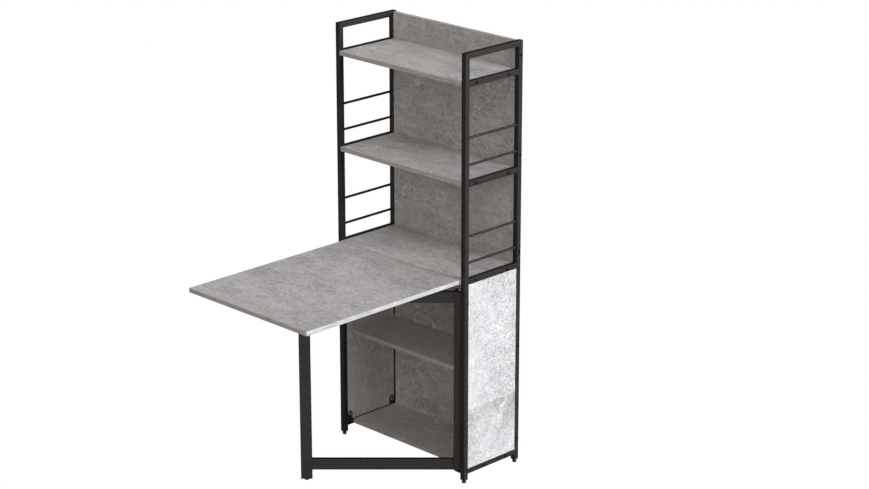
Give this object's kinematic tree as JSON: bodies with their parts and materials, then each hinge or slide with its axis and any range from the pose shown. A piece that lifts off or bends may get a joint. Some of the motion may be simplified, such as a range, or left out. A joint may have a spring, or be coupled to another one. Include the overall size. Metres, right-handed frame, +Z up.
{
  "type": "folding table with shelves",
  "caption": "Folding table with shelves: dark tube side frames carry grey board shelves and an open cupboard, and a hinged leaf rests on a swinging gate leg.",
  "frame": {"origin": "on the floor, under the middle of the whole footprint with the leaf raised", "axes": "+X to the right seen from the front, +Y to the back board, +Z up; the leaf points along -Y"},
  "size_m": [0.6428, 0.9894, 1.56],
  "materials": {
    "frame_paint": "satin",
    "dark_fittings": "satin",
    "grey_board": "matte laminate",
    "black_plastic": "matte",
    "steel": "plated"
  },
  "bodies": {
    "cabinet": {"left_front_post": "frame_paint", "left_rear_post": "frame_paint", "right_front_post": "frame_paint", "right_rear_post": "frame_paint", "left_top_rail": "frame_paint", "left_bottom_rail": "frame_paint", "left_table_rail": "frame_paint", "left_middle_rail": "frame_paint", "left_top_shelf_rail": "frame_paint", "right_top_rail": "frame_paint", "right_bottom_rail": "frame_paint", "right_table_rail": "frame_paint", "right_middle_rail": "frame_paint", "right_top_shelf_rail": "frame_paint", "left_table_rod_1": "frame_paint", "left_table_rod_2": "frame_paint", "left_middle_rod_1": "frame_paint", "left_middle_rod_2": "frame_paint", "right_table_rod_1": "frame_paint", "right_table_rod_2": "frame_paint", "right_middle_rod_1": "frame_paint", "right_middle_rod_2": "frame_paint", "left_front_foot": "black_plastic", "left_rear_foot": "black_plastic", "right_front_foot": "black_plastic", "right_rear_foot": "black_plastic", "post_plugs": "black_plastic", "top_shelf": "grey_board", "middle_shelf": "grey_board", "bottom_shelf": "grey_board", "lower_shelf": "grey_board", "back_panel": "grey_board", "left_panel": "grey_board", "right_panel": "grey_board", "fixed_top": "grey_board", "left_panel_tabs": "dark_fittings", "right_panel_tabs": "dark_fittings", "panel_tab_screws": "steel", "lower_shelf_pins": "steel", "shelf_bolts": "dark_fittings", "back_panel_bolts": "dark_fittings", "fixed_hinge_plates": "steel", "hinge_pins": "steel", "fixed_hinge_screws": "steel", "upper_pivot_plate": "frame_paint", "lower_pivot_plate": "frame_paint", "upper_pivot_pin": "steel", "lower_pivot_pin": "steel"},
    "gate": {"gate_leg": "frame_paint", "gate_stile": "frame_paint", "gate_bottom_rail": "frame_paint", "gate_top_rail": "frame_paint", "gate_leg_cap": "black_plastic", "gate_upper_bush": "black_plastic", "gate_lower_bush": "black_plastic", "gate_leg_glide": "black_plastic"},
    "leaf": {"drop_leaf": "grey_board", "leaf_hinge_plates": "steel", "leaf_hinge_screws": "steel"}
  },
  "joints": [
    {"name": "gate_swing", "type": "hinge", "parent": "cabinet", "child": "gate", "pos_m": [0.2765, 0.23425, 0], "axis": [0, 0, 1], "range_deg": [-45, 45]},
    {"name": "leaf_hinge", "type": "hinge", "parent": "cabinet", "child": "leaf", "pos_m": [0, 0.21, 0.7407], "axis": [-1, 0, 0], "range_deg": [0, 3]}
  ]
}
